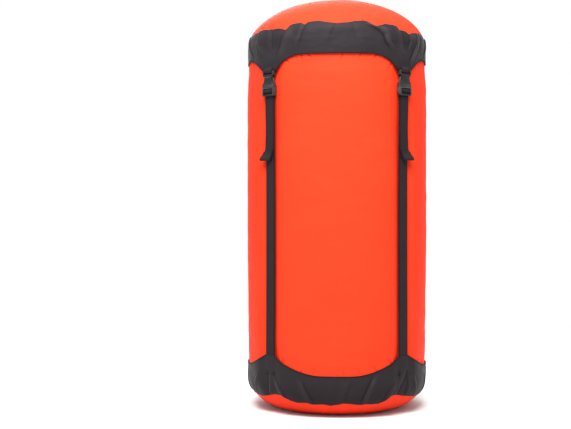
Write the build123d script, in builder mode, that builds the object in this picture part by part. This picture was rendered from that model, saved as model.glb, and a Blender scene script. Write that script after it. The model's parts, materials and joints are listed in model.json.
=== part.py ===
"""A 20 litre compression sack, fully extended: a stuffed fabric tube between a sewn base and a lift-off lid.

The sack stands on its base at the origin with +Z up its axis and -Y to its front. Four webbing straps run
up it, two towards the front and two towards the back. Each is sewn to the base harness and ends in a
side-release buckle that hangs from the lid harness. Under the lid a drawcord with a spring cord lock closes
the gathered mouth.
Fabric is modelled as a thin wall, a little thicker than real cloth. All sizes are in millimetres.
"""

import os
from math import acos, asin, cos, degrees, radians, sin, sqrt

from build123d import *

os.makedirs("parts", exist_ok=True)

# ---- Driving dimensions ----------------------------------------------------------------------------------
SACK_RADIUS = 115.0
SACK_HEIGHT = 519.0
WALL = 1.0  # thickness of one modelled fabric wall
LAYER_GAP = 0.1  # between two fabric layers that lie on each other

# Base
FOOT_RADIUS = 70.0  # flat part that stands on the ground
BASE_ROUND = SACK_RADIUS - FOOT_RADIUS
BASE_TOP = 48.0
BASE_BAND_LOW = 16.0
BASE_BAND_HIGH = 71.0  # tip of the points where the straps are sewn
BASE_ARCH = 51.5  # upper edge of the base band half way between two straps
BASE_ARCH_CORNER = 88.0

# Tube, in three stretches that fold into each other when the straps are pulled
TUBE_NARROW_START = 425.0
TUBE_NARROW_END = 436.0
TUBE_TOP = 450.0
TUBE_TOP_RADIUS = 113.2
TUBE_SPLITS = (BASE_TOP, 168.0, 309.0, TUBE_TOP)

# Gathered mouth
SHOULDER_HEIGHT = 38.0
MOUTH_RADIUS = 42.0
NECK_TOP = 490.3
HEM_Z = 494.0
HEM_OUTER = 3.6
HEM_INNER = 2.4

# Lid
DOME_LOW = 455.0
DOME_HEIGHT = SACK_HEIGHT - DOME_LOW
DOME_FLAT = 2.0  # radius of the level spot at the very top
LID_BAND_LOW = 419.0  # tip of the points that hold the buckles
LID_ARCH = 437.5  # lower edge of the lid band half way between two straps
LID_ARCH_CORNER = 34.0
LID_BAND_HIGH = 478.0
POINT_HALF_WIDTH = 7.3  # of a band's point, seen square to the span beside it
WINDOW_SPARE = 30.0  # how far an arch's window goes on past the tips of the points
BINDING_WIDTH = 1.5
BINDING_PROUD = 0.3

# Straps
WEBBING_WIDTH = 15.0
WEBBING_THICK = 1.2
RUN_OFFSET = 116.3  # from the sack's axis to the back of the strap
RUN_LOW = 55.0
RUN_TOP = 389.2
TAIL_OFFSET = 117.7
TAIL_TURN = (0.9, 3.9)  # drop below the middle bar where the tail turns in and where it turns down
TAIL_END = 312.5
TAIL_FOLD_LENGTH = 10.5

# Buckle
BUCKLE_WIDTH = 20.0
PLUG_LOW = 389.0
PLUG_TOP = 399.4
PLUG_BACK = 116.7
PLUG_THICK = 5.2
PLUG_CORNER = 1.2
RAIL_WIDTH = 1.9
END_BAR = (120.6, 390.1)  # centre, as distance from the axis and height
END_BAR_SIZE = (2.0, 2.2)
MIDDLE_BAR = (119.3, 394.9)
MIDDLE_BAR_RADIUS = 1.5
PLUG_PLATE_LOW = 398.0
TONGUE_WIDTH = 3.0
TONGUE_TOP = 411.0
TONGUE_BACK = 118.2
TONGUE_THICK = 1.8
PRONG_ROOT_IN = 4.4
PRONG_ROOT_OUT = 6.4
PRONG_SHOULDER_Z = 404.3
PRONG_SHOULDER_OUT = 9.2
PRONG_TIP_Z = 413.0
PRONG_BACK = 118.0
PRONG_THICK = 2.2
SOCKET_LOW = 399.6
SOCKET_TOP = 420.0
SOCKET_BACK = 116.6
SOCKET_THICK = 5.0
THROAT_HALF = 6.9
THROAT_TOP = 404.0
CHAMBER_TOP = 413.8
CHAMBER_BACK = 117.8
CHAMBER_THICK = 2.6
SOCKET_WAIST_HALF = 6.3
SOCKET_HEAD_HALF = 9.2
LOOP_SLOT = (415.4, 417.7)
LOOP_SLOT_HALF = 7.2
LOOP_BAR_HALF = 1.2  # half the thickness of the bar above that slot
LOOP_WIDTH = 13.0
LOOP_CENTRE = (119.1, 418.7)
LOOP_SEWN_TOP = 433.0

# Drawcord and cord lock
CORD_RADIUS = 1.25
CORD_SPACING = 2.2  # each run from the lock's middle plane
CORD_EXIT_BEND = 4.0
KNOT_X = 76.5
KNOT_RADIUS = 3.6
LOCK_X = 62.0
LOCK_RADIUS = 7.5
LOCK_LOW = 484.6
LOCK_TOP = 499.4
LOCK_FLOOR = 1.2
LOCK_BORE = 5.2
BUTTON_RADIUS = 5.0
BUTTON_LOW = 491.0
BUTTON_TOP = 504.2
BUTTON_TRAVEL = 3.5
CORD_HOLE_HALF_WIDTH = 4.0
CORD_HOLE_HALF_HEIGHT = 1.6
SPRING_WIRE = 0.35
SPRING_RADIUS = 3.6
SPRING_TURNS = 2

STRAP_ANGLE = 43.5  # from the front, or from the back, to each strap
STATIONS = {
    "front_right": 270.0 + STRAP_ANGLE,
    "rear_right": 90.0 - STRAP_ANGLE,
    "rear_left": 90.0 + STRAP_ANGLE,
    "front_left": 270.0 - STRAP_ANGLE,
}
SPANS = {  # direction of each span's middle, and its half angle
    0.0: 90.0 - STRAP_ANGLE,
    90.0: STRAP_ANGLE,
    180.0: 90.0 - STRAP_ANGLE,
    270.0: STRAP_ANGLE,
}


# ---- Shared helpers --------------------------------------------------------------------------------------
def facing_plane(angle, distance=0.0):
    """Vertical plane whose normal points out from the sack's axis: x along the sack's skin, y up."""
    out = (cos(radians(angle)), sin(radians(angle)), 0)
    along = (-sin(radians(angle)), cos(radians(angle)), 0)
    return Plane(origin=(0, 0, 0), x_dir=along, z_dir=out).offset(distance)


def side_plane(angle):
    """Vertical plane through the sack's axis: x is the distance from the axis, y is the height."""
    out = (cos(radians(angle)), sin(radians(angle)), 0)
    along = (sin(radians(angle)), -cos(radians(angle)), 0)
    return Plane(origin=(0, 0, 0), x_dir=out, z_dir=along)


def finish(part, name):
    """Label one finished piece and write it."""
    part.label = name
    export_step(part, f"parts/{name}.step")


def webbing_strip(angle, centre_line, width):
    """A strip of webbing: its centre line in the side plane, given its thickness and its width."""
    with BuildPart() as strip:
        with BuildSketch(side_plane(angle)):
            with BuildLine():
                add(centre_line)
            trace(line_width=WEBBING_THICK)
        extrude(amount=width / 2, both=True)
    return strip.part


def arch_window(half_span, arch, tip, corner, grow):
    """Window that one span cuts into a band: level half way between two straps, curving to the points."""
    rise = 1 if tip > arch else -1
    radius = corner + grow
    turn = acos(1 - (abs(tip - arch) + grow) / radius)
    half = SACK_RADIUS * sin(radians(half_span)) - POINT_HALF_WIDTH + grow
    edge = arch - rise * grow
    far = tip + rise * WINDOW_SPARE
    with BuildSketch(mode=Mode.PRIVATE) as window:
        with BuildLine():
            level = Line((0, edge), (half - radius * sin(turn), edge))
            bend = JernArc(level @ 1, (1, 0), radius, rise * degrees(turn))
            Polyline(bend @ 1, (half, far), (0, far))
            mirror(about=Plane.YZ)
        make_face()
    return window.sketch


def arch_blocks(arch, tip, corner, grow):
    """The windows of all four spans, standing out from the sack's axis."""
    blocks = []
    for angle, half_span in SPANS.items():
        with BuildPart(mode=Mode.PRIVATE) as block:
            with BuildSketch(facing_plane(angle, SACK_RADIUS / 2)):
                add(arch_window(half_span, arch, tip, corner, grow))
            extrude(amount=SACK_RADIUS)
        blocks.append(block.part)
    return blocks


# ---- Base ------------------------------------------------------------------------------------------------
def base_skin(grow):
    """Lower outline of the sack, grown outward: along the ground, round the edge and up to the base's top."""
    Line((0, -grow), (FOOT_RADIUS, -grow))
    CenterArc((FOOT_RADIUS, BASE_ROUND), BASE_ROUND + grow, -90, 90)
    Line((SACK_RADIUS + grow, BASE_ROUND), (SACK_RADIUS + grow, BASE_TOP))


with BuildPart() as base_panel:
    with BuildSketch(Plane.XZ):
        with BuildLine():
            base_skin(0)
            base_skin(-WALL)
            Line((0, 0), (0, WALL))
            Line((SACK_RADIUS - WALL, BASE_TOP), (SACK_RADIUS, BASE_TOP))
        make_face()
    revolve(axis=Axis.Z)
finish(base_panel.part, "base_panel")


def base_band(proud):
    """The ring that the base harness is cut from, following the rounded edge of the base."""
    inner = BASE_ROUND + LAYER_GAP
    outer = inner + WALL + proud
    drop = BASE_ROUND - BASE_BAND_LOW
    inner_turn = degrees(asin(drop / inner))
    outer_turn = degrees(asin(drop / outer))
    with BuildPart() as band:
        with BuildSketch(Plane.XZ):
            with BuildLine():
                low_in = CenterArc((FOOT_RADIUS, BASE_ROUND), inner, -inner_turn, inner_turn)
                low_out = CenterArc((FOOT_RADIUS, BASE_ROUND), outer, -outer_turn, outer_turn)
                Polyline(
                    low_in @ 1,
                    (FOOT_RADIUS + inner, BASE_BAND_HIGH),
                    (FOOT_RADIUS + outer, BASE_BAND_HIGH),
                    low_out @ 1,
                )
                Line(low_in @ 0, low_out @ 0)
            make_face()
        revolve(axis=Axis.Z)
    return band.part


with BuildPart() as base_harness:
    add(base_band(0))
    for cutter in arch_blocks(BASE_ARCH, BASE_BAND_HIGH, BASE_ARCH_CORNER, BINDING_WIDTH):
        add(cutter, mode=Mode.SUBTRACT)
finish(base_harness.part, "base_harness")

with BuildPart() as base_binding_windows:
    add(arch_blocks(BASE_ARCH, BASE_BAND_HIGH, BASE_ARCH_CORNER, BINDING_WIDTH))
    for cutter in arch_blocks(BASE_ARCH, BASE_BAND_HIGH, BASE_ARCH_CORNER, 0):
        add(cutter, mode=Mode.SUBTRACT)

with BuildPart() as base_binding:
    add(base_band(BINDING_PROUD))
    add(base_binding_windows.part, mode=Mode.INTERSECT)
finish(base_binding.part, "base_harness_binding")


# ---- Tube ------------------------------------------------------------------------------------------------
def tube_stretch(low, high):
    """One stretch of the sack's wall. The top one narrows where it goes up inside the lid."""
    outline = [(SACK_RADIUS, low)]
    if high > TUBE_NARROW_END:
        outline += [(SACK_RADIUS, TUBE_NARROW_START), (TUBE_TOP_RADIUS, TUBE_NARROW_END)]
        outline += [(TUBE_TOP_RADIUS, high)]
    else:
        outline += [(SACK_RADIUS, high)]
    inside = [(radius - WALL, height) for radius, height in reversed(outline)]
    with BuildPart() as stretch:
        with BuildSketch(Plane.XZ):
            with BuildLine():
                Polyline(*outline, *inside, close=True)
            make_face()
        revolve(axis=Axis.Z)
    return stretch.part


for index, name in enumerate(("sack_tube_lower", "sack_tube_middle", "sack_tube_upper")):
    finish(tube_stretch(TUBE_SPLITS[index], TUBE_SPLITS[index + 1]), name)


# ---- Gathered mouth, drawcord and cord lock --------------------------------------------------------------
def shoulder_height(radius, thinner=0.0):
    """Height of the gathered shoulder above a point this far from the axis."""
    reach = TUBE_TOP_RADIUS - thinner
    return TUBE_TOP + (SHOULDER_HEIGHT - thinner) * sqrt(1 - (radius / reach) ** 2)


with BuildPart() as mouth_shoulder:
    inner_radius = MOUTH_RADIUS - WALL / 2
    outer_radius = MOUTH_RADIUS + WALL / 2
    outer_end = degrees(asin((shoulder_height(outer_radius) - TUBE_TOP) / SHOULDER_HEIGHT))
    inner_end = degrees(asin((shoulder_height(inner_radius, WALL) - TUBE_TOP) / (SHOULDER_HEIGHT - WALL)))
    with BuildSketch(Plane.XZ):
        with BuildLine():
            over = EllipticalCenterArc((0, TUBE_TOP), TUBE_TOP_RADIUS, SHOULDER_HEIGHT, arc_size=outer_end)
            under = EllipticalCenterArc(
                (0, TUBE_TOP), TUBE_TOP_RADIUS - WALL, SHOULDER_HEIGHT - WALL, arc_size=inner_end
            )
            Polyline(over @ 1, (outer_radius, NECK_TOP), (inner_radius, NECK_TOP), under @ 1)
            Line(over @ 0, under @ 0)
        make_face()
    revolve(axis=Axis.Z)
finish(mouth_shoulder.part, "mouth_shoulder")

with BuildPart() as drawcord_hem:
    with BuildSketch(Plane.XZ):
        with Locations((MOUTH_RADIUS, HEM_Z)):
            Circle(HEM_OUTER)
            Circle(HEM_INNER, mode=Mode.SUBTRACT)
    revolve(axis=Axis.Z)
    with BuildSketch(Plane.XY.offset(HEM_Z)):
        with Locations((MOUTH_RADIUS + HEM_OUTER, 0)):
            Rectangle(2 * HEM_OUTER, 2 * (CORD_SPACING + 2 * CORD_EXIT_BEND))
    extrude(amount=CORD_RADIUS + 0.5, both=True, mode=Mode.SUBTRACT)
finish(drawcord_hem.part, "drawcord_hem")

with BuildPart() as drawcord:
    bend_y = CORD_SPACING + CORD_EXIT_BEND
    bend_x = sqrt((MOUTH_RADIUS + CORD_EXIT_BEND) ** 2 - bend_y**2)
    leave = degrees(asin(bend_y / (MOUTH_RADIUS + CORD_EXIT_BEND)))
    with BuildLine(Plane.XY.offset(HEM_Z)) as cord_route:
        Line((KNOT_X, CORD_SPACING), (bend_x, CORD_SPACING))
        CenterArc((bend_x, bend_y), CORD_EXIT_BEND, -90, leave - 90)
        CenterArc((0, 0), MOUTH_RADIUS, leave, 360 - 2 * leave)
        CenterArc((bend_x, -bend_y), CORD_EXIT_BEND, 180 - leave, leave - 90)
        Line((bend_x, -CORD_SPACING), (KNOT_X, -CORD_SPACING))
    with BuildSketch(Plane(origin=(KNOT_X, CORD_SPACING, HEM_Z), z_dir=(-1, 0, 0))):
        Circle(CORD_RADIUS)
    sweep(path=cord_route.wires()[0])
    with Locations((KNOT_X, 0, HEM_Z)):
        Sphere(KNOT_RADIUS)
finish(drawcord.part, "drawcord")

with BuildPart() as cord_lock_barrel:
    with BuildSketch(Plane.XY.offset(LOCK_LOW)):
        with Locations((LOCK_X, 0)):
            Circle(LOCK_RADIUS)
    extrude(amount=LOCK_TOP - LOCK_LOW)
    fillet(cord_lock_barrel.faces().filter_by(Axis.Z).edges(), 1.0)
    with BuildSketch(Plane.XY.offset(LOCK_LOW + LOCK_FLOOR)):
        with Locations((LOCK_X, 0)):
            Circle(LOCK_BORE)
    extrude(amount=LOCK_TOP - LOCK_LOW, mode=Mode.SUBTRACT)
    with BuildSketch(Plane.YZ.offset(LOCK_X - 2 * LOCK_RADIUS)):
        with Locations((0, HEM_Z)):
            SlotOverall(2 * CORD_HOLE_HALF_WIDTH, 2 * CORD_HOLE_HALF_HEIGHT)
    extrude(amount=4 * LOCK_RADIUS, mode=Mode.SUBTRACT)
finish(cord_lock_barrel.part, "cord_lock_barrel")

with BuildPart() as cord_lock_button:
    with BuildSketch(Plane.XY.offset(BUTTON_LOW)):
        with Locations((LOCK_X, 0)):
            Circle(BUTTON_RADIUS)
    extrude(amount=BUTTON_TOP - BUTTON_LOW)
    fillet(cord_lock_button.faces().sort_by(Axis.Z)[-1].edges(), 1.2)
    with BuildSketch(Plane.YZ.offset(LOCK_X - 2 * LOCK_RADIUS)):
        with Locations((0, HEM_Z + BUTTON_TRAVEL / 2)):
            Rectangle(
                2 * (CORD_SPACING + CORD_RADIUS + 0.2), 2 * (CORD_RADIUS + 0.1) + BUTTON_TRAVEL
            )
    extrude(amount=4 * LOCK_RADIUS, mode=Mode.SUBTRACT)
finish(cord_lock_button.part, "cord_lock_button")

with BuildPart() as cord_lock_spring:
    spring_low = LOCK_LOW + LOCK_FLOOR + SPRING_WIRE
    spring_height = BUTTON_LOW - spring_low - SPRING_WIRE
    with BuildLine() as coil:
        Helix(spring_height / SPRING_TURNS, spring_height, SPRING_RADIUS, center=(LOCK_X, 0, spring_low))
    with BuildSketch(Plane(origin=coil.line @ 0, z_dir=coil.line % 0)):
        Circle(SPRING_WIRE)
    sweep(path=coil.line, is_frenet=True)
finish(cord_lock_spring.part, "cord_lock_spring")


# ---- Lid -------------------------------------------------------------------------------------------------
def dome_wall(inner_grow, outer_grow, low):
    """Wall that follows the lid's dome, between two growths of it, from its lower edge to the top."""
    with BuildPart() as wall:
        with BuildSketch(Plane.XZ):
            with BuildLine():
                heights = []
                for grow in (inner_grow, outer_grow):
                    across = SACK_RADIUS + grow
                    rise = degrees(acos(DOME_FLAT / across))
                    dome = EllipticalCenterArc((0, DOME_LOW), across, DOME_HEIGHT + grow, arc_size=rise)
                    heights.append((dome @ 1).Y)
                    Line(dome @ 1, (0, heights[-1]))
                    if low < DOME_LOW:
                        Line((across, DOME_LOW), (across, low))
                Line((SACK_RADIUS + inner_grow, low), (SACK_RADIUS + outer_grow, low))
                Line((0, heights[0]), (0, heights[1]))
            make_face()
        revolve(axis=Axis.Z)
    return wall.part


def lid_band(proud):
    """The ring that the lid harness is cut from, lying on the dome and on the top of the tube."""
    with BuildPart() as band:
        add(dome_wall(LAYER_GAP, LAYER_GAP + WALL + proud, LID_BAND_LOW))
        split(bisect_by=Plane.XY.offset(LID_BAND_HIGH), keep=Keep.BOTTOM)
    return band.part


finish(dome_wall(-WALL, 0, DOME_LOW), "lid_panel")

with BuildPart() as lid_harness:
    add(lid_band(0))
    for cutter in arch_blocks(LID_ARCH, LID_BAND_LOW, LID_ARCH_CORNER, BINDING_WIDTH):
        add(cutter, mode=Mode.SUBTRACT)
finish(lid_harness.part, "lid_harness")

with BuildPart() as lid_binding_windows:
    add(arch_blocks(LID_ARCH, LID_BAND_LOW, LID_ARCH_CORNER, BINDING_WIDTH))
    for cutter in arch_blocks(LID_ARCH, LID_BAND_LOW, LID_ARCH_CORNER, 0):
        add(cutter, mode=Mode.SUBTRACT)

with BuildPart() as lid_binding:
    add(lid_band(BINDING_PROUD))
    add(lid_binding_windows.part, mode=Mode.INTERSECT)
finish(lid_binding.part, "lid_harness_binding")


# ---- Straps ----------------------------------------------------------------------------------------------
def strap_run(angle):
    """The strap from where it is sewn to the base up to where it goes in behind the buckle."""
    with BuildPart() as run:
        with BuildSketch(facing_plane(angle, RUN_OFFSET)):
            with Locations((0, (RUN_LOW + RUN_TOP) / 2)):
                Rectangle(WEBBING_WIDTH, RUN_TOP - RUN_LOW)
        extrude(amount=WEBBING_THICK)
    return run.part


def strap_tail(angle):
    """The strap's adjusting end: over the buckle's middle bar, behind its end bar, down to a folded end."""
    run_n = RUN_OFFSET + WEBBING_THICK / 2
    tail_n = TAIL_OFFSET + WEBBING_THICK / 2
    bar_n, bar_z = MIDDLE_BAR
    bend = bar_n - run_n
    fold = (WEBBING_THICK + LAYER_GAP) / 2
    with BuildLine(mode=Mode.PRIVATE) as centre_line:
        Line((run_n, RUN_TOP), (run_n, bar_z))
        CenterArc((bar_n, bar_z), bend, 180, -180)
        FilletPolyline(
            (bar_n + bend, bar_z),
            (bar_n + bend, bar_z - TAIL_TURN[0]),
            (tail_n, bar_z - TAIL_TURN[1]),
            (tail_n, TAIL_END),
            radius=0.8,
        )
        CenterArc((tail_n + fold, TAIL_END), fold, 180, 180)
        Line((tail_n + 2 * fold, TAIL_END), (tail_n + 2 * fold, TAIL_END + TAIL_FOLD_LENGTH))
    return webbing_strip(angle, centre_line.line, WEBBING_WIDTH)


def buckle_loop(angle):
    """The webbing loop that is sewn to a point of the lid harness and holds the buckle's socket."""
    back_n = RUN_OFFSET + WEBBING_THICK / 2
    front_n = back_n + WEBBING_THICK + LAYER_GAP
    bar_n, bar_z = LOOP_CENTRE
    bend = bar_n - back_n
    with BuildLine(mode=Mode.PRIVATE) as centre_line:
        Line((back_n, LOOP_SEWN_TOP), (back_n, bar_z))
        CenterArc((bar_n, bar_z), bend, 180, 180)
        FilletPolyline(
            (bar_n + bend, bar_z),
            (bar_n + bend, bar_z + 1.6),
            (front_n, bar_z + 6.5),
            (front_n, LOOP_SEWN_TOP),
            radius=1.5,
        )
    return webbing_strip(angle, centre_line.line, LOOP_WIDTH)


# ---- Buckle ----------------------------------------------------------------------------------------------
def buckle_socket(angle):
    """Female half: a loop bar on top, a waisted chamber that shows the prongs, and a narrow throat."""
    half = BUCKLE_WIDTH / 2
    waist_z = (THROAT_TOP + CHAMBER_TOP) / 2
    with BuildPart() as socket:
        with BuildSketch(facing_plane(angle, SOCKET_BACK)):
            with BuildLine() as right_side:
                Polyline((0, SOCKET_LOW), (half, SOCKET_LOW), (half, THROAT_TOP))
                ThreePointArc(
                    (half, THROAT_TOP), (SOCKET_WAIST_HALF, waist_z), (SOCKET_HEAD_HALF, CHAMBER_TOP)
                )
                Polyline((SOCKET_HEAD_HALF, CHAMBER_TOP), (SOCKET_HEAD_HALF, SOCKET_TOP), (0, SOCKET_TOP))
                mirror(right_side.line, about=Plane.YZ)
            make_face()
        extrude(amount=SOCKET_THICK)
        fillet(socket.faces().sort_by(Axis.Z)[-1].edges(), 0.9)
        with BuildSketch(facing_plane(angle, CHAMBER_BACK)):
            with Locations((0, (SOCKET_LOW - 1 + CHAMBER_TOP) / 2)):
                Rectangle(2 * THROAT_HALF, CHAMBER_TOP - SOCKET_LOW + 1)
            with Locations((0, (THROAT_TOP + CHAMBER_TOP) / 2)):
                Rectangle(2 * BUCKLE_WIDTH, CHAMBER_TOP - THROAT_TOP)
        extrude(amount=CHAMBER_THICK, mode=Mode.SUBTRACT)
        with BuildSketch(facing_plane(angle, SOCKET_BACK - 1)):
            with Locations((0, sum(LOOP_SLOT) / 2)):
                Rectangle(2 * LOOP_SLOT_HALF, LOOP_SLOT[1] - LOOP_SLOT[0])
        extrude(amount=SOCKET_THICK + 2, mode=Mode.SUBTRACT)
        recess = LOOP_BAR_HALF + SOCKET_THICK / 2
        with BuildSketch(side_plane(angle)):
            with Locations((LOOP_CENTRE[0] - recess, SOCKET_TOP), (LOOP_CENTRE[0] + recess, SOCKET_TOP)):
                Rectangle(SOCKET_THICK, 2 * (SOCKET_TOP - LOOP_SLOT[1]))
        extrude(amount=LOOP_SLOT_HALF, both=True, mode=Mode.SUBTRACT)
    return socket.part


def buckle_plug(angle):
    """Male half: two rails with an end bar, a round middle bar and a plate that carries the guide tongue."""
    inside = BUCKLE_WIDTH / 2 - RAIL_WIDTH
    with BuildPart() as plug:
        with BuildSketch(facing_plane(angle, PLUG_BACK)):
            with Locations((0, (PLUG_LOW + PLUG_TOP) / 2)):
                outline = Rectangle(BUCKLE_WIDTH, PLUG_TOP - PLUG_LOW)
            fillet(outline.vertices().group_by(Axis.Y)[0], PLUG_CORNER)
            with Locations((0, (PLUG_LOW + PLUG_PLATE_LOW) / 2 - 1)):
                Rectangle(2 * inside, PLUG_PLATE_LOW - PLUG_LOW + 2, mode=Mode.SUBTRACT)
        extrude(amount=PLUG_THICK)
        with BuildSketch(side_plane(angle)):
            with Locations(END_BAR):
                RectangleRounded(*END_BAR_SIZE, 0.6)
            with Locations(MIDDLE_BAR):
                Circle(MIDDLE_BAR_RADIUS)
        extrude(amount=inside + 0.2, both=True)
        with BuildSketch(facing_plane(angle, TONGUE_BACK)):
            with Locations((0, (PLUG_TOP + TONGUE_TOP) / 2)):
                Rectangle(TONGUE_WIDTH, TONGUE_TOP - PLUG_TOP)
        extrude(amount=TONGUE_THICK)
    return plug.part


def buckle_prong(angle, side):
    """One springy arm of the plug, with the barb that catches in the socket and shows in its waist."""
    outline = (
        (PRONG_ROOT_IN, PLUG_TOP),
        (PRONG_ROOT_OUT, PLUG_TOP),
        (PRONG_ROOT_OUT + 0.2, PRONG_SHOULDER_Z),
        (PRONG_SHOULDER_OUT, PRONG_SHOULDER_Z),
        (PRONG_SHOULDER_OUT - 0.3, PRONG_SHOULDER_Z + 4.0),
        (PRONG_ROOT_OUT, PRONG_TIP_Z),
        (PRONG_ROOT_IN + 0.4, PRONG_TIP_Z - 1.0),
        (PRONG_ROOT_IN + 0.6, PRONG_SHOULDER_Z),
    )
    with BuildPart() as prong:
        with BuildSketch(facing_plane(angle, PRONG_BACK)):
            with BuildLine():
                Polyline(*[(side * across, height) for across, height in outline], close=True)
            make_face()
        extrude(amount=PRONG_THICK)
    return prong.part


for station, angle in STATIONS.items():
    finish(strap_run(angle), f"strap_run_{station}")
    finish(strap_tail(angle), f"strap_tail_{station}")
    finish(buckle_loop(angle), f"buckle_loop_{station}")
    finish(buckle_socket(angle), f"buckle_socket_{station}")
    finish(buckle_plug(angle), f"buckle_plug_{station}")
    finish(buckle_prong(angle, -1), f"prong_left_{station}")
    finish(buckle_prong(angle, 1), f"prong_right_{station}")
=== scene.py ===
"""Looks of the compression sack: its stuffed orange fabric, the gathered dark bands, the webbing straps with
their buckles, and the gathered mouth with its cord lock under the lid.

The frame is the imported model's: +Z up the sack's axis and -Y to its front. Shapes are worked out in mm and
become metres in mesh_object. Lights, camera and floor are in metres. An angle round the sack is counted from
the front towards +X, in radians unless its name says degrees.
"""

import json
import math

import bmesh
import bpy
import numpy as np
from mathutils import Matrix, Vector


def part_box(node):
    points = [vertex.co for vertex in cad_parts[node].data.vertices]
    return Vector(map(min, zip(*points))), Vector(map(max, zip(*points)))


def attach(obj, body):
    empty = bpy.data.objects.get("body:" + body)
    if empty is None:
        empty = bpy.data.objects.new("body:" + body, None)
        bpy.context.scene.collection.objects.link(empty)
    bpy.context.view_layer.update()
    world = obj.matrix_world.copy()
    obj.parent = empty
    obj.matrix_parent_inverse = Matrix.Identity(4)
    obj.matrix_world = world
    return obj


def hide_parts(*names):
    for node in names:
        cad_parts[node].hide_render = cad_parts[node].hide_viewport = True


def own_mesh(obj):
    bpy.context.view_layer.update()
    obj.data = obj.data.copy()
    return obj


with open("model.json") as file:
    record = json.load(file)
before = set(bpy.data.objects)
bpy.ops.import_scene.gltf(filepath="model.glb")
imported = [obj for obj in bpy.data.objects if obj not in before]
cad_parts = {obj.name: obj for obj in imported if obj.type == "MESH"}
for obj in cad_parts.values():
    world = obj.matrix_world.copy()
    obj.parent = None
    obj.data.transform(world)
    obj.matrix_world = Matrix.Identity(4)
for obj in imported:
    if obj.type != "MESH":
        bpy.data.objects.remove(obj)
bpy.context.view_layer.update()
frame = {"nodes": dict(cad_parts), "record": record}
MM = 0.001


def lowest(node):
    """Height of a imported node's lowest point, in mm."""
    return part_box(node)[0].z / MM


def highest(node):
    """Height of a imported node's highest point, in mm."""
    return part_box(node)[1].z / MM


def half_width(node):
    """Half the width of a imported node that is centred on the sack's axis, in mm."""
    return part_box(node)[1].x / MM


# ---- Sizes in mm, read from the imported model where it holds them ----
RADIUS = half_width("sack_tube_middle")
BASE_ROUND = 45
FOOT_RADIUS = RADIUS - BASE_ROUND
WALL_LOW = lowest("sack_tube_lower")
WALL_TOP = highest("sack_tube_upper")
WALL_TOP_RADIUS = half_width("mouth_shoulder")
NARROWING = (439, 448)  # heights between which the wall narrows to fit inside the lid
DOME_LOW = lowest("lid_panel")
DOME_HEIGHT = highest("lid_panel") - DOME_LOW
LID_BAND_LOW = lowest("lid_harness")
LID_BAND_HIGH = highest("lid_harness")
BASE_BAND_HIGH = highest("base_harness")
BINDING_WIDTH = 1.5
LID_ARCH = highest("lid_harness_binding") - BINDING_WIDTH
BASE_ARCH = lowest("base_harness_binding") + BINDING_WIDTH
LID_POINT = 7.3  # half the width of a band's points
BASE_POINT = 5.2
# Arches in front and behind, and at the sides: level, height of their points, and radius of their corners
LID_ARCHES = ((LID_ARCH, LID_BAND_LOW, 34), (LID_ARCH, LID_BAND_LOW, 50))
BASE_ARCHES = ((BASE_ARCH, BASE_BAND_HIGH + 2.5, 88),
               (BASE_ARCH + 4.5, BASE_BAND_HIGH + 2.5, 80))
MOUTH_RADIUS = 42
HEM_Z = (lowest("drawcord_hem") + highest("drawcord_hem")) / 2
NECK_TOP = highest("mouth_shoulder")

STRAP_DEGREES = 43.5  # from the front, or from the back, to each strap
STRAP_ANGLE = math.radians(STRAP_DEGREES)
STATIONS = {
    "front_right": STRAP_DEGREES,
    "rear_right": 180 - STRAP_DEGREES,
    "rear_left": STRAP_DEGREES - 180,
    "front_left": -STRAP_DEGREES,
}
WEBBING_WIDTH = 15
WEBBING_THICK = 1.2
LOOP_WIDTH = 13
SHELL_THICK = 0.7
MOUTH_THICK = 0.5
STITCH_INSET = 2.2  # from a band's arched edge to its row of stitches
SEAM_MARGIN = 14  # length without stitches at each end of the wall's seam
RUN_CENTRE = 116.9  # distance of the strap's middle from the sack's axis
TAIL_CENTRE = 118.3
RUN_TOP = 389.2
MIDDLE_BAR = (119.3, 394.9)  # distance from the axis, height
LOOP_BAR = (119.1, 418.7)


# ---- Small helpers ----
def smooth(low, high, value):
    """0 below low, 1 above high, with an S-shaped step between them."""
    t = np.clip((value - low) / (high - low), 0, 1)
    return t * t * (3 - 2 * t)


def fading(low, high, value):
    """1 below low, 0 above high."""
    return 1 - smooth(low, high, value)


def ring_points(angle, radius, height):
    """Points given by their angle round the sack, distance from its axis and height."""
    return np.stack([radius * np.sin(angle), -radius * np.cos(angle), height + 0 * angle], axis=-1)


def valley(across, width, shoulder):
    """A narrow valley, 1 deep, with low ridges beside it."""
    return np.exp(-((across / width) ** 2)) - 0.5 * np.exp(-((across / shoulder) ** 2))


def distance_along(path):
    """Distance from the path's first point to each of its points."""
    return np.concatenate([[0], np.cumsum(np.linalg.norm(np.diff(path, axis=0), axis=1))])


def at_distances(distances, along, path):
    """The values of a path at some distances along it."""
    return np.stack([np.interp(distances, along, part) for part in path.T], axis=-1)


def wrap(angle):
    """The same angle between -pi and pi."""
    return (angle + math.pi) % (2 * math.pi) - math.pi


def waves(angle, height, seed, turns, pitch, count=14):
    """Smooth irregular ripples, about -1 to 1, that close round the sack. They are a sum of count waves, with
    up to that many turns round it and a pitch up it between the two given."""
    rng = np.random.default_rng(seed)
    total = np.zeros(np.broadcast(angle, height).shape)
    for _ in range(count):
        around = int(rng.integers(-turns, turns + 1))
        up = 2 * math.pi / rng.uniform(*pitch)
        total = total + np.cos(around * angle + up * height + rng.uniform(0, 2 * math.pi))
    return total / math.sqrt(2 * count)


def unit(vectors):
    """The same vectors with length 1."""
    return vectors / np.linalg.norm(vectors, axis=-1, keepdims=True)


# ---- Shape of the stuffed sack ----
BULGE = 5.0  # how far the fabric swells out beside a strap
BULGE_START = 6.0
BULGE_CREST = 20
BULGE_END = 82


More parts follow.
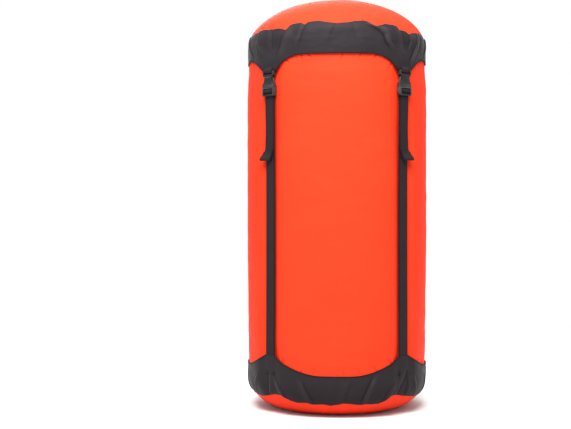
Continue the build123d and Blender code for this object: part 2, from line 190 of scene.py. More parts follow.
def from_front_or_back(angle):
    """Angle, from 0 to a quarter turn, between a direction and the front or the back."""
    turned = np.abs(wrap(angle))
    return np.minimum(turned, math.pi - turned)


def strap_distance(angle):
    """Distance along the skin to the nearest strap's centre line."""
    return RADIUS * np.abs(from_front_or_back(angle) - STRAP_ANGLE)


def bulge(angle, height):
    """The stuffing pushes the fabric out on both sides of each strap, less near the sewn bands."""
    away = strap_distance(angle)
    shape = smooth(BULGE_START, BULGE_CREST, away) * fading(BULGE_CREST, BULGE_END, away)
    from_base = 0.7 + 0.3 * smooth(55, 110, height)
    from_lid = 1 - 0.6 * smooth(290, 420, height)
    on_dome = fading(DOME_LOW, LID_BAND_HIGH, height)
    on_foot = smooth(0, BASE_ROUND, height)
    return BULGE * shape * from_base * from_lid * on_dome * on_foot - draw_in(angle, height)


def draw_in(angle, height):
    """The bands hold the fabric in a little between the straps, at both ends of the sack."""
    low = 1.2 * fading(80, 230, height) * smooth(0.3 * BASE_ROUND, BASE_ROUND, height)
    high = 1.5 * smooth(395, 430, height) * fading(458, 470, height)
    return (low + high) * smooth(20, 40, strap_distance(angle))


def profile(height):
    """Radius of the plain sack at each height, with the two parts of the outward normal there."""
    low = np.clip((BASE_ROUND - height) / BASE_ROUND, 0, 1)
    high = np.clip((height - DOME_LOW) / DOME_HEIGHT, 0, 1)
    radius = FOOT_RADIUS + BASE_ROUND * np.sqrt(1 - low**2)
    radius = np.where(high > 0, RADIUS * np.sqrt(1 - high**2), radius)
    out = np.where(high > 0, np.sqrt(1 - high**2) / RADIUS, np.sqrt(1 - low**2))
    up = np.where(high > 0, high / DOME_HEIGHT, -low)
    length = np.hypot(out, up)
    return radius, out / length, up / length


def skin(angle, height, lift):
    """Points on the sack's outer skin, raised by lift along its normal."""
    radius, out, up = profile(height)
    radius = radius + bulge(angle, height) + lift * out
    return ring_points(angle, radius, height + lift * up)


def skin_normal(angle, height):
    """Outward normals of the plain sack."""
    _, out, up = profile(height)
    return ring_points(angle, out, up)


def span_place(angle):
    """Angle from the middle of the span between two straps that a direction lies in, and its half angle."""
    turned = from_front_or_back(angle)
    facing = turned < STRAP_ANGLE
    return (np.where(facing, turned, math.pi / 2 - turned),
            np.where(facing, STRAP_ANGLE, math.pi / 2 - STRAP_ANGLE))


def arch_edge(angle, arches, point):
    """Height of a band's arched edge, whose points have a given half width."""
    local, half_span = span_place(angle)
    facing = half_span < math.pi / 4
    level, tip, corner = (np.where(facing, front, side) for front, side in zip(*arches))
    end = RADIUS * np.sin(half_span) - point
    start = end - np.sqrt(corner**2 - (corner - np.abs(tip - level)) ** 2)
    beyond = np.clip(RADIUS * np.sin(local) - start, 0, corner)
    rise = np.minimum(corner - np.sqrt(corner**2 - beyond**2), np.abs(tip - level))
    return level + np.sign(tip - level) * rise


def lid_arch(angle):
    """Height of the lid band's lower edge."""
    return np.maximum(arch_edge(angle, LID_ARCHES, LID_POINT), LID_BAND_LOW + 1.2)


def base_arch(angle):
    """Height of the base band's upper edge."""
    return arch_edge(angle, BASE_ARCHES, BASE_POINT)


def columns(count):
    """Angles round the sack from the back, closer together beside the straps, where the arches are steep."""
    even = np.linspace(-math.pi, math.pi, 8192, endpoint=False)
    density = 1 + 1.1 * np.exp(-((strap_distance(even) / 14) ** 2))
    reached = np.concatenate([[0], np.cumsum(density)])[:-1]
    return np.interp(np.linspace(0, np.sum(density), count, endpoint=False), reached, even)


# ---- Meshes ----
def new_object(name, data):
    """A new object in the scene."""
    made = bpy.data.objects.new(name, data)
    bpy.context.scene.collection.objects.link(made)
    return made


def mesh_object(name, points, faces, cloth=None):
    """A smooth-shaded object. Its cloth attribute holds each point's place on the flat fabric, in mm."""
    mesh = bpy.data.meshes.new(name)
    mesh.from_pydata((np.reshape(points, (-1, 3)) * MM).tolist(), [], faces)
    if cloth is not None:
        attribute = mesh.attributes.new("cloth", "FLOAT_VECTOR", "POINT")
        attribute.data.foreach_set("vector", np.asarray(cloth, np.float32).ravel())
    mesh.validate()
    mesh.shade_smooth()
    return new_object(name, mesh)


def grid_faces(rows, columns_, closed=True):
    """Quads of a grid whose columns run round the sack, as rows of four vertex numbers."""
    across = columns_ if closed else columns_ - 1
    row, column = np.meshgrid(np.arange(rows - 1), np.arange(across), indexing="ij")
    following = (column + 1) % columns_
    here = row * columns_
    above = here + columns_
    quads = np.stack([here + column, here + following, above + following, above + column], axis=-1)
    return quads.reshape(-1, 4).tolist()


def cloth_places(angle, height):
    """Places on the fabric for points given by angle and height."""
    return np.stack([RADIUS * angle, height, 0 * angle], axis=-1)


def solidify(obj, thickness):
    """Gives a fabric surface its thickness, inward."""
    modifier = obj.modifiers.new("Thickness", "SOLIDIFY")
    modifier.thickness = thickness * MM
    modifier.offset = -1
    modifier.use_even_offset = True


def capped_fabric(name, points, pole, at_top):
    """A fabric panel made of rings and closed by one point in the middle of its last or its first ring."""
    rows, count = points.shape[:2]
    vertices = np.concatenate([points.reshape(-1, 3), [pole]])
    faces = grid_faces(rows, count)
    first = (rows - 1) * count if at_top else 0
    for k in range(count):
        edge = [first + k, first + (k + 1) % count]
        faces.append((edge if at_top else edge[::-1]) + [rows * count])
    panel = mesh_object(name, vertices, faces, vertices)
    solidify(panel, SHELL_THICK)
    return panel


def sweep(name, centres, outward, section, across=None):
    """A bar of one section along a path. A section point is (across, outward)."""
    centres = np.asarray(centres)
    tangent = unit(np.gradient(centres, axis=0))
    if across is None:
        across = unit(np.cross(outward, tangent))
        outward = unit(np.cross(tangent, across))
    section = np.asarray(section)
    points = (
        centres[:, None, :]
        + section[None, :, 0:1] * across[:, None, :]
        + section[None, :, 1:2] * outward[:, None, :]
    )
    rows, count = points.shape[:2]
    along = distance_along(centres)
    cloth = np.zeros((rows, count, 3))
    cloth[..., 0] = section[None, :, 0]
    cloth[..., 1] = along[:, None]
    faces = grid_faces(rows, count)
    faces.append(list(range(count))[::-1])
    faces.append([(rows - 1) * count + k for k in range(count)])
    return mesh_object(name, points, faces, cloth)


def webbing_section(width, thick):
    """Flat webbing with rounded edges."""
    corner = thick * 0.42
    points = []
    for side_x, side_y, start in ((1, 1, 0), (-1, 1, 90), (-1, -1, 180), (1, -1, 270)):
        for step in range(4):
            turn = math.radians(start + 30 * step)
            x = side_x * (width / 2 - corner) + corner * math.cos(turn)
            y = side_y * (thick / 2 - corner) + corner * math.sin(turn)
            points.append((x, y))
        if start in (0, 180):
            for share in (0.2, 0.4, 0.6, 0.8):
                x = side_x * (width / 2 - corner) * (1 - 2 * share)
                points.append((x, side_y * thick / 2))
    return points


def round_section(radius, count, flatten=1.0):
    """Circle, or an ellipse lower in the outward direction."""
    turns = [2 * math.pi * k / count for k in range(count)]
    return [(radius * math.cos(t), radius * flatten * math.sin(t)) for t in turns]


def rounded_path(corners, radii, step=0.5):
    """Points along straight runs joined by arcs, in a plane."""
    corners = [Vector(c) for c in corners]
    path = [corners[0]]
    for before, corner, after, radius in zip(corners, corners[1:], corners[2:], radii):
        first, second = (before - corner).normalized(), (after - corner).normalized()
        half = first.angle(second) / 2
        reach = radius / math.tan(half)
        middle = corner + (first + second).normalized() * (radius / math.sin(half))
        start, end = corner + first * reach - middle, corner + second * reach - middle
        turn = start.angle_signed(end)
        for k in range(13):
            spin = -turn * k / 12
            x = start.x * math.cos(spin) - start.y * math.sin(spin)
            y = start.x * math.sin(spin) + start.y * math.cos(spin)
            path.append(middle + Vector((x, y)))
    path.append(corners[-1])
    path = np.array(path)
    along = distance_along(path)
    return at_distances(np.linspace(0, along[-1], max(int(along[-1] / step), 2)), along, path)


def arc_points(centre, radius, start_degrees, turn_degrees, count=16):
    """Points along an arc, in a plane."""
    turns = np.radians(start_degrees + turn_degrees * np.linspace(0, 1, count))
    return np.stack([centre[0] + radius * np.cos(turns), centre[1] + radius * np.sin(turns)], axis=-1)


# ---- Materials ----
class Shader:
    """A node material that is built up around one Principled shader."""

    def __init__(self, name):
        self.material = bpy.data.materials.new(name)
        self.material.use_nodes = True
        self.tree = self.material.node_tree
        self.surface = self.tree.nodes["Principled BSDF"]

    def node(self, kind, inputs=None, **settings):
        """A new node. An input is a value, or another node's output to link."""
        made = self.tree.nodes.new("ShaderNode" + kind)
        for key, value in settings.items():
            setattr(made, key, value)
        for key, value in (inputs or {}).items():
            self.put(made.inputs[key], value)
        return made

    def put(self, socket, value):
        """Links an output to a socket, or sets the socket's value."""
        if isinstance(value, bpy.types.NodeSocket):
            self.tree.links.new(value, socket)
        else:
            socket.default_value = value

    def math(self, operation, first, second=0.0):
        """The output of one Math node."""
        return self.node("Math", {0: first, 1: second}, operation=operation).outputs[0]

    def sine(self, value, turn):
        """Sine of a value times turn."""
        return self.math("SINE", self.math("MULTIPLY", value, turn))

    def cloth(self):
        """The place on the flat fabric in mm, and its two parts."""
        place = self.node("Attribute", attribute_name="cloth").outputs["Vector"]
        parts = self.node("SeparateXYZ", {0: place})
        return place, parts.outputs[0], parts.outputs[1]

    def solid_place(self):
        """The place in the object, in mm."""
        return self.scaled(self.node("TexCoord").outputs["Object"], 1 / MM)

    def noise(self, place, size, detail, stretch=None):
        """Noise whose blotches are about size mm across."""
        if stretch:
            place = self.node("VectorMath", {0: place, 1: stretch}, operation="MULTIPLY").outputs[0]
        made = self.node("TexNoise", {"Vector": place, "Scale": 1 / size, "Detail": detail})
        return made.outputs["Factor"] if "Factor" in made.outputs else made.outputs[0]

    def between(self, factor, low, high, start=0.0, end=1.0):
        """The factor stretched from start..end to low..high."""
        made = self.node("MapRange", {"Value": factor, "From Min": start, "From Max": end,
                                      "To Min": low, "To Max": high})
        return made.outputs[0]

    def scaled(self, vector, by):
        """A vector or a colour times a number."""
        return self.node("VectorMath", {0: vector, "Scale": by}, operation="SCALE").outputs[0]

    def blend(self, factor, first, second):
        """A mix of two colours."""
        mix = self.node("Mix", {"Factor": factor}, data_type="RGBA")
        self.put(mix.inputs[6], first)
        self.put(mix.inputs[7], second)
        return mix.outputs[2]

    def bump(self, height, depth, normal=None):
        """A bump whose height from 0 to 1 is depth mm."""
        made = self.node("Bump", {"Height": height, "Distance": depth * MM, "Strength": 1.0})
        if normal is not None:
            self.put(made.inputs["Normal"], normal)
        return made.outputs[0]

    def finish(self, **values):
        """Sets the Principled shader's inputs, named with _ for a space, and gives the material."""
        for key, value in values.items():
            self.put(self.surface.inputs[key.replace("_", " ")], value)
        return self.material


def fabric(name, colour, shade, weave=0.7, crinkle=0.25, roughness=0.6, gloss=0.06, sheen=0.0, planar=False,
           fold_shade_and_highlight=None):
    """Tightly woven nylon: a fine plain weave, soft creasing and slightly uneven dye. Where the cloth carries
    the height of its folds in mm, the last argument gives painted shade in the creases and a painted
    highlight on the ridges."""
    shader = Shader(name)
    if planar:
        place = shader.solid_place()
        parts = shader.node("SeparateXYZ", {0: place})
        across, up = parts.outputs[0], parts.outputs[1]
    else:
        place, across, up = shader.cloth()
    turn = 2 * math.pi / weave
    crossings = shader.math("MULTIPLY", shader.sine(across, turn), shader.sine(up, turn))
    threads = shader.math("MULTIPLY_ADD", crossings, 0.5)
    solid = shader.solid_place()
    creases = shader.noise(solid, 9.0, 4.0)
    drape = shader.noise(solid, 42.0, 2.0, stretch=(1.0, 1.0, 1.7))
    blotch = shader.noise(solid, 60.0, 2.0)
    slub = shader.noise(place, 1.0, 2.0, stretch=(0.25, 3.0, 1.0))
    normal = shader.bump(drape, 5 * crinkle)
    normal = shader.bump(creases, crinkle, normal)
    normal = shader.bump(slub, 0.02, normal)
    normal = shader.bump(threads, 0.03, normal)
    tint = shader.math("MULTIPLY_ADD", slub, 0.35)
    shader.tree.links.new(shader.math("MULTIPLY", blotch, 0.65), tint.node.inputs[2])
    dye = shader.blend(tint, shade, colour)
    # Painted shade in the creases and a painted highlight on the ridges, from the fold height in the cloth.
    if fold_shade_and_highlight:
        fold = shader.node("SeparateXYZ", {0: place}).outputs[2]
        crease = shader.between(fold, fold_shade_and_highlight[0], 1.0, start=-0.7, end=0.0)
        ridge = shader.between(fold, 1.0, fold_shade_and_highlight[1], start=0.1, end=1.6)
        dye = shader.scaled(dye, shader.math("MULTIPLY", crease, ridge))
    return shader.finish(
        Base_Color=dye,
        Roughness=shader.between(creases, roughness - 0.06, roughness + 0.08),
        Normal=normal,
        Specular_IOR_Level=gloss,
        Sheen_Weight=sheen,
        Sheen_Roughness=0.3,
    )


def webbing(name, colour, shade, rib=1.15, cord=1.5):
    """Ribbed webbing: short ribs across it, set off by half from one row to the next, and edges darker partly
    from the firm weave's own colour and partly as painted shade.
    """
    shader = Shader(name)
    place, across, along = shader.cloth()
    row = shader.math("FLOOR", shader.math("DIVIDE", across, cord))
    offset = shader.math("MULTIPLY", row, math.pi)
    turn = shader.math("ADD", shader.math("MULTIPLY", along, 2 * math.pi / rib), offset)
    ribs = shader.math("MULTIPLY_ADD", shader.math("SINE", turn), 0.5)
    ribs.node.inputs[2].default_value = 0.5
    valleys = shader.math("ABSOLUTE", shader.sine(across, math.pi / cord))
    fibres = shader.noise(place, 0.5, 2.0, stretch=(1.0, 3.0, 1.0))
    wear = shader.noise(shader.solid_place(), 25.0, 3.0)
    normal = shader.bump(ribs, 0.10)
    normal = shader.bump(valleys, 0.06, normal)
    normal = shader.bump(fibres, 0.04, normal)
    tint = shader.math("MULTIPLY", shader.math("ADD", ribs, wear), 0.5)
    # Darker edges: partly the woven edge's own colour, partly painted shade.
    selvedge_and_shade = shader.between(shader.math("ABSOLUTE", across), 1.0, 0.45, start=4.6, end=6.6)
    return shader.finish(
        Base_Color=shader.scaled(shader.blend(tint, shade, colour), selvedge_and_shade),
        Roughness=shader.between(fibres, 0.62, 0.8),
        Normal=normal,
        Specular_IOR_Level=0.12,
    )


def moulded_plastic(name, colour, worn_and_lit):
    """Fine-textured acetal, with edges rubbed smoother and a little lighter: partly rubbed wear and partly
    a painted highlight.
    """
    shader = Shader(name)
    place = shader.solid_place()
    grain = shader.noise(place, 0.35, 2.0)
    flow = shader.noise(place, 6.0, 2.0)
    edge = shader.between(shader.node("NewGeometry").outputs["Pointiness"], 0, 1, start=0.535, end=0.60)
    # Lighter edges: partly rubbed wear, partly a painted highlight.
    rubbed_and_lit_edge = shader.math("MULTIPLY", edge, shader.between(flow, 0.3, 1.0))
    normal = shader.bump(grain, 0.012)
    smoother = shader.math("MULTIPLY", rubbed_and_lit_edge, 0.12)
    return shader.finish(
        Base_Color=shader.blend(rubbed_and_lit_edge, colour, worn_and_lit),
        Roughness=shader.math("SUBTRACT", shader.between(flow, 0.38, 0.5), smoother),
        Normal=normal,
        Specular_IOR_Level=0.3,
    )


def braided_cord(name, colour, fleck):
    """Braided cord: two sets of strands that cross at an angle."""
    shader = Shader(name)
    place, across, along = shader.cloth()
    round_it, down_it = shader.math("MULTIPLY", across, 4.0), shader.math("MULTIPLY", along, 2.6)
    strands = [shader.math("SINE", shader.math(sign, round_it, down_it)) for sign in ("ADD", "SUBTRACT")]
    braid = shader.math("MAXIMUM", *strands)
    flecks = shader.math("GREATER_THAN", shader.noise(place, 3.0, 1.0), 0.58)
    return shader.finish(
        Base_Color=shader.blend(flecks, colour, fleck),
        Roughness=0.65,
        Normal=shader.bump(braid, 0.12),
        Sheen_Weight=0.2,
    )


def spring_steel(name):
    """Drawn wire with fine lengthwise marks."""
    shader = Shader(name)
    marks = shader.noise(shader.solid_place(), 0.4, 3.0, stretch=(1.0, 1.0, 6.0))
    return shader.finish(
        Base_Color=(0.55, 0.56, 0.58, 1),
        Metallic=1.0,
        Roughness=shader.between(marks, 0.2, 0.4),
        Normal=shader.bump(marks, 0.01),
    )


def thread(name, colour, shade):
    """Twisted sewing thread."""
    shader = Shader(name)
    strands = shader.noise(shader.solid_place(), 0.25, 2.0)
    return shader.finish(
        Base_Color=shader.blend(strands, shade, colour),
        Roughness=0.6,
        Normal=shader.bump(strands, 0.05),
        Specular_IOR_Level=0.15,
    )


ORANGE = (0.70, 0.0315, 0.0086, 1)
ORANGE_SHADE = (0.64, 0.0260, 0.0073, 1)
BAND_GREY = (0.0150, 0.0120, 0.0136, 1)
BAND_SHADE = (0.0100, 0.0080, 0.0092, 1)

# The shell and band fabrics get painted shade in their folds' creases and a painted highlight on the ridges.
shell_fabric = fabric("shell_fabric", ORANGE, ORANGE_SHADE, fold_shade_and_highlight=(0.5, 1.05))
shell_fabric_flat = fabric("shell_fabric_flat", ORANGE, ORANGE_SHADE, planar=True)
harness_fabric = fabric("harness_fabric", BAND_GREY, BAND_SHADE, crinkle=0.4, gloss=0.09, sheen=0.06,
                        fold_shade_and_highlight=(0.35, 1.5))
# Near-black tape, its own dark colour deepened as painted shade along the band's sewn edge.
binding_tape = webbing("binding_tape", (0.006, 0.0048, 0.0054, 1), (0.003, 0.0025, 0.003, 1),
                       rib=0.8, cord=0.6)
# The webbing's dark colour has a reddish cast that is painted bounce light from the orange fabric.
strap_webbing = webbing("strap_webbing", (0.015, 0.0095, 0.0108, 1), (0.008, 0.0052, 0.006, 1))
buckle_plastic = moulded_plastic("buckle_plastic", (0.0060, 0.0052, 0.0057, 1), (0.060, 0.056, 0.059, 1))
lock_plastic = moulded_plastic("lock_plastic", (0.024, 0.024, 0.026, 1), (0.08, 0.08, 0.085, 1))
mouth_cord = braided_cord("mouth_cord", (0.03, 0.03, 0.032, 1), (0.5, 0.5, 0.5, 1))
wire_steel = spring_steel("wire_steel")
dark_thread = thread("dark_thread", (0.010, 0.0085, 0.0095, 1), (0.005, 0.004, 0.005, 1))
orange_thread = thread("orange_thread", (0.9, 0.09, 0.03, 1), (0.6, 0.04, 0.015, 1))


def place(obj, body, material, slot, *replaced):
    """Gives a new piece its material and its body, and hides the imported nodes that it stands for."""
    obj.data.materials.append(material)
    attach(obj, body)
    if replaced:
        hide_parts(*replaced)
    return obj


# ---- Stuffed orange fabric ----
def puckers(seed, edge, per_span=7):
    """Short creases that start at an arch's seam: angle, height, lean, length and depth of each."""
    rng = np.random.default_rng(seed)
    made = []
    for span in range(4):
        for k in range(per_span):
            share = (k + rng.uniform(0.15, 0.85)) / per_span * 2 - 1
            local = math.copysign(abs(share) ** 0.7, share) * math.radians(37)
            angle = span * math.pi / 2 + local
            lean = -local * rng.uniform(0.6, 1.5) + rng.uniform(-0.3, 0.3)
            made.append((angle, float(edge(np.array(angle))), lean,
                         rng.uniform(8, 15), rng.uniform(0.7, 1.3)))
    return made


def pucker_lift(angle, height, creases, upward):
    """Depth of the creases at each point: a narrow valley with low ridges beside it."""
    lift = np.zeros(angle.shape)
    direction = 1 if upward else -1
    for at, seam, lean, length, depth in creases:
        side = RADIUS * wrap(angle - at)
        rise = (height - seam) * direction
        near = (np.abs(side) < 18) & (rise > -4) & (rise < 18)
        along = rise[near] * math.cos(lean) + side[near] * math.sin(lean)
        across = side[near] * math.cos(lean) - rise[near] * math.sin(lean)
        fade = smooth(-3, 0, along) * fading(0.3 * length, length, along)
        lift[near] -= depth * fade * valley(across, 1.5, 3.6)
    return lift


WALL_CUTS = (73.5, 417.0)  # the wall is cut into three pieces at these heights


def make_wall():
    """The sack's wall, from under the base band to inside the lid. Its two ends, which the bands' points
    cover, are pieces of their own, so that they stay with their bands."""
    heights = np.concatenate([
        np.linspace(WALL_LOW - 4, 51, 3),
        np.linspace(52.5, 84, 22),
        np.linspace(92, 394, 32),
        np.linspace(402, 440.25, 52),
        np.linspace(444, WALL_TOP, 2),
    ])
    angle, height = np.meshgrid(columns(570), heights)
    clear_of_strap = smooth(8, 22, strap_distance(angle))
    inside = (RADIUS - WALL_TOP_RADIUS) * smooth(*NARROWING, height)
    between_bands = smooth(45, 90, height) * fading(390, 430, height)
    folds = 0.20 * waves(angle, height, seed=11, turns=5, pitch=(20, 52)) * between_bands
    slow = 0.12 * waves(angle, height, seed=12, turns=6, pitch=(120, 400), count=8)
    lift = (folds + slow) * clear_of_strap - inside
    creased = pucker_lift(angle, height, puckers(seed=21, edge=lid_arch), upward=False)
    creased += pucker_lift(angle, height, puckers(seed=22, edge=base_arch), upward=True)
    lift += creased
    facing = np.cos(wrap(angle)) ** 2
    at_lid = fading(0, 24, lid_arch(angle) - height) * fading(*NARROWING, height)
    lift -= (0.5 + 1.3 * facing) * at_lid
    lift -= 0.8 * fading(0, 18, height - base_arch(angle))
    seam = RADIUS * np.abs(wrap(angle - math.pi))
    lift += 0.55 * fading(3.6, 4.8, seam)
    points = skin(angle, height, lift)
    cloth = cloth_places(angle, height)
    # Painted shade along both edges of each strap, fading out above the straps; the shell darkens with it.
    beside = np.abs(strap_distance(angle) - WEBBING_WIDTH / 2)
    painted_strap_shade = 0.55 * np.exp(-beside / 1.6) + 0.28 * np.exp(-beside / 7)
    cloth[..., 2] = creased - painted_strap_shade * fading(385, 410, height)
    first, second = (int(np.argmin(np.abs(heights - cut))) for cut in WALL_CUTS)
    pieces = []
    for name, rows in (("wall_foot", slice(0, first + 1)), ("sack_wall", slice(first, second + 1)),
                       ("wall_head", slice(second, None))):
        piece = mesh_object(name, points[rows], grid_faces(*angle[rows].shape), cloth[rows])
        solidify(piece, SHELL_THICK)
        with bpy.context.temp_override(object=piece, active_object=piece):
            bpy.ops.object.modifier_apply(modifier="Thickness")
        piece.data.set_sharp_from_angle(angle=math.radians(50))
        pieces.append(piece)
    return pieces


def squash_between(obj, low, high):
    """Gives a piece its own copy of its mesh."""
    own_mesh(obj)


def make_base_cap():
    """The orange base: a flat foot, a rounded edge and a hem that goes up inside the wall."""
    flat = np.linspace(6, FOOT_RADIUS - 3, 14)
    turns = np.radians(np.linspace(90, 0, 25))
    upright = np.linspace(BASE_ROUND + 0.6, WALL_LOW + 6, 9)
    radius = np.concatenate([flat, FOOT_RADIUS + BASE_ROUND * np.cos(turns), RADIUS + 0 * upright])
    height = np.concatenate([0 * flat, BASE_ROUND * (1 - np.sin(turns)), upright])
    out = np.concatenate([0 * flat, np.cos(turns), np.ones(len(upright))])
    angle, radius = np.meshgrid(columns(360), radius)
    height, out = height[:, None] + 0 * angle, out[:, None] + 0 * angle
    down = np.sqrt(1 - out**2)
    tuck = 0.95 * smooth(WALL_LOW - 9, WALL_LOW - 4, height)
    ripple = 0.30 * waves(angle, height, seed=31, turns=26, pitch=(40, 90)) * smooth(0.2, 0.7, out) - tuck
    radius = radius + ripple * out + bulge(angle, height)
    height = np.maximum(height - ripple * down, 0)
    return capped_fabric("base_cap", ring_points(angle, radius, height), (0, 0, 0), False)


def make_dome():
    """The lid's domed panel, from under the band to the top."""
    turns = np.concatenate([np.linspace(0, 60, 34), np.linspace(62, 88.5, 17)])
    below = np.array([DOME_LOW - 4, DOME_LOW - 2])
    height = np.concatenate([below, DOME_LOW + DOME_HEIGHT * np.sin(np.radians(turns))])
    angle, height = np.meshgrid(columns(420), height)
    radius, _, _ = profile(height)
    settle = smooth(5, 60, radius)
    soft = 0.45 * waves(angle, height, seed=41, turns=5, pitch=(60, 160), count=10)
    gathers = 0.5 * waves(angle, height * 0.2, seed=42, turns=44, pitch=(60, 90), count=16)
    near_band = fading(LID_BAND_HIGH - 8, LID_BAND_HIGH + 16, height)
    lift = (soft + gathers * near_band) * settle + pleat_puckers(angle, height)
    top = skin(0.0, DOME_LOW + DOME_HEIGHT - 1e-3, -0.1)[2]
    return capped_fabric("lid_dome", skin(angle, height, lift - 0.1), (0, 0, top), True)


# ---- Gathered dark bands ----
BAND_THICK = 0.6
LID_FOLD_SEED = 51
BASE_FOLD_SEED = 52

# Gathered edges of the front half, as (degrees from the front, height in mm)
LID_EDGE = (
    (-90, 469), (-84, 471), (-77, 469.5), (-70, 472), (-62, 471.5), (-55, 473.6), (-50, 472.8), (-43, 471),
    (-38, 471.3), (-33, 468.4), (-31.4, 470.4), (-30.2, 473.8), (-27, 475.4), (-23, 475.2), (-20.2, 472.8),
    (-18, 475.8), (-11.5, 476.8), (-7.3, 475.4), (-4, 473.8), (0, 473.0), (6.2, 473.8), (11.5, 476.2),
    (17, 477.2), (19.5, 476), (22, 472.4), (24.5, 470.2), (28.2, 472.4), (31.5, 474.8), (36.8, 474.8),
    (41.2, 472.8), (42.6, 469), (48.2, 468.4), (50.3, 465.6), (54.5, 468), (60, 469.2), (66, 470.4),
    (71.5, 469.5), (77.5, 466), (84, 469), (90, 469),
)
BASE_EDGE = (
    (-90, 20.5), (-82, 22), (-74, 19.5), (-66, 21.5), (-58, 19.5), (-50, 22.5), (-42, 26), (-36, 26),
    (-31, 20.5), (-26, 18), (-20, 19.2), (-14, 17), (-9, 18.4), (-4.2, 16.6), (4, 19), (8.5, 19.2),
    (15.2, 17), (17.8, 18.2), (27.8, 17.4), (31.5, 20.4), (34.8, 26), (37.8, 27.8), (43.2, 25.6), (52, 22.5),
    (60, 20.4), (66, 19.6), (74, 19), (82, 21.5), (90, 20.5),
)
# Folds of the front half: line as (degrees, height in mm), then the ridge's height and width in mm, and the
# side of the line that the ridge lies on
LID_FOLDS = (
    (((-19.6, 476), (-20.3, 468), (-22.0, 456), (-24, 445)), 1.5, 3.2, -1),
    (((-32.6, 472), (-33.6, 461), (-35.5, 448), (-39, 431)), 1.4, 4.5, 1),
    (((17.5, 472.0), (21.6, 469.3), (25.4, 466.5), (28.9, 461.0), (30.4, 451.5), (33.5, 443)), 3.0, 2.8, 1),
    (((58.5, 468), (56.0, 454), (52.2, 441.5), (48.8, 432), (47.6, 426)), 1.9, 2.4, 1),
    (((42.4, 473), (43.8, 457), (45.4, 439)), 1.1, 3.6, -1),
    (((50.4, 470), (50.0, 457), (47.8, 444)), 1.2, 3.0, 1),
    (((1, 477), (-2, 465), (-5, 450)), 0.6, 5.0, -1),
    (((9.6, 478), (10.6, 464), (12.0, 448)), 0.6, 6.0, 1),
    (((-44.5, 474), (-43.0, 459), (-42.5, 444)), 1.0, 4.0, -1),
    (((-61, 474), (-58, 457), (-52, 439)), 1.4, 3.6, 1),
    (((-75, 472), (-71, 457), (-61, 440)), 1.4, 3.6, -1),
    (((66, 472), (62.5, 455), (56, 439)), 1.3, 3.4, -1),
    (((77, 470), (75, 456), (69, 442)), 1.5, 4.0, 1),
)
BASE_FOLDS = (
    (((15.2, 16), (16.2, 25), (18.8, 38.5), (21.8, 51)), 2.0, 3.2, 1),
    (((39.0, 22), (41.0, 32.5), (44.5, 44), (46.0, 55)), 2.0, 3.4, -1),
    (((47.0, 21), (48.0, 35), (47.6, 51)), 1.2, 2.8, 1),
    (((29.0, 17), (31.0, 29), (36.0, 45)), 1.1, 4.0, 1),
    (((4.0, 17), (6.0, 31), (9.0, 46)), 0.7, 4.5, -1),
    (((-14.0, 16), (-17.5, 31), (-21.0, 46)), 1.6, 3.4, -1),
    (((-31.5, 19), (-34.5, 33), (-39.0, 48)), 1.5, 3.2, -1),
    (((-48.0, 21), (-46.0, 35), (-45.0, 52)), 1.4, 3.0, 1),
    (((-66.0, 19), (-62.0, 33), (-56.0, 48)), 1.3, 3.4, 1),
    (((62.0, 19), (58.0, 33), (53.5, 48)), 1.4, 3.4, -1),
    (((76.0, 17), (74.0, 31), (68.0, 46)), 1.2, 4.0, 1),
    (((-80.0, 17), (-78.0, 31), (-72.0, 46)), 1.2, 4.0, -1),
)


def mirrored(angle):
    """Angles of the front half, and for the back half those that lie straight in front of them."""
    turned = wrap(angle)
    return np.where(np.abs(turned) > math.pi / 2, wrap(math.pi - turned), turned)


def edge_height(angle, front, seed):
    """Height of a band's gathered edge. The back repeats the front, slightly changed."""
    at, height = np.array(front).T
    edge = np.interp(np.degrees(mirrored(angle)), at, height)
    behind = smooth(math.pi / 2, math.pi / 2 + 0.3, np.abs(wrap(angle)))
    ruffle = waves(angle, 0 * angle, seed, turns=70, pitch=(1, 2), count=20)
    change = waves(angle, 0 * angle, seed + 1, turns=24, pitch=(1, 2), count=10)
    return edge + 0.30 * ruffle + 1.1 * behind * change


def all_round(front, seed):
    """The front's folds and, behind, mirrored ones with small changes."""
    rng = np.random.default_rng(seed)
    folds = [(np.array(line), ridge, width, side) for line, ridge, width, side in front]
    for line, ridge, width, side in front:
        behind = np.array(line, float)
        behind[:, 0] = 180 - behind[:, 0] + rng.uniform(-2.5, 2.5)
        folds.append((behind, ridge * rng.uniform(0.7, 1.15), width * rng.uniform(0.85, 1.3), -side))
    return folds


def fold_lift(angle, height, folds):
    """Height of the folds: a narrow crease along each line with a soft ridge on one side of it."""
    lift = np.zeros(angle.shape)
    for line, ridge, width, side in folds:
        line = line[np.argsort(line[:, 1])]
        levels = line[:, 1]
        line_angle = np.interp(height, levels, np.radians(line[:, 0]))
        slope = np.interp(height, levels, np.gradient(RADIUS * np.radians(line[:, 0]), levels))
        across = RADIUS * wrap(angle - line_angle) * side / np.sqrt(1 + slope**2)
        fade = smooth(levels[0] - 4, levels[0] + 10, height)
        fade = fade * fading(levels[-1] - 8, levels[-1] + 5, height)
        crease = np.exp(-np.abs(across) / 1.1)
        swell = np.exp(-(((across - width) / width) ** 2))
        lift += ridge * fade * (0.85 * swell - 0.75 * crease)
    return lift


def lid_edge(angle):
    """Height of the lid band's gathered upper edge."""
    return edge_height(angle, LID_EDGE, seed=53)


def base_edge(angle):
    """Height of the base band's gathered lower edge."""
    return edge_height(angle, BASE_EDGE, seed=55)


def pleat_puckers(angle, height):
    """Shallow creases in the dome above the lid band's folds."""
    lift = np.zeros(angle.shape)
    for line, ridge, _, _ in all_round(LID_FOLDS, LID_FOLD_SEED):
        top = line[np.argmax(line[:, 1])]
        across = RADIUS * wrap(angle - math.radians(top[0]))
        above = height - (LID_BAND_HIGH - 8)
        fade = smooth(-6, 0, above) * fading(1, 20, above)
        lift -= 0.6 * ridge * fade * valley(across, 1.5, 4.5)
    return lift


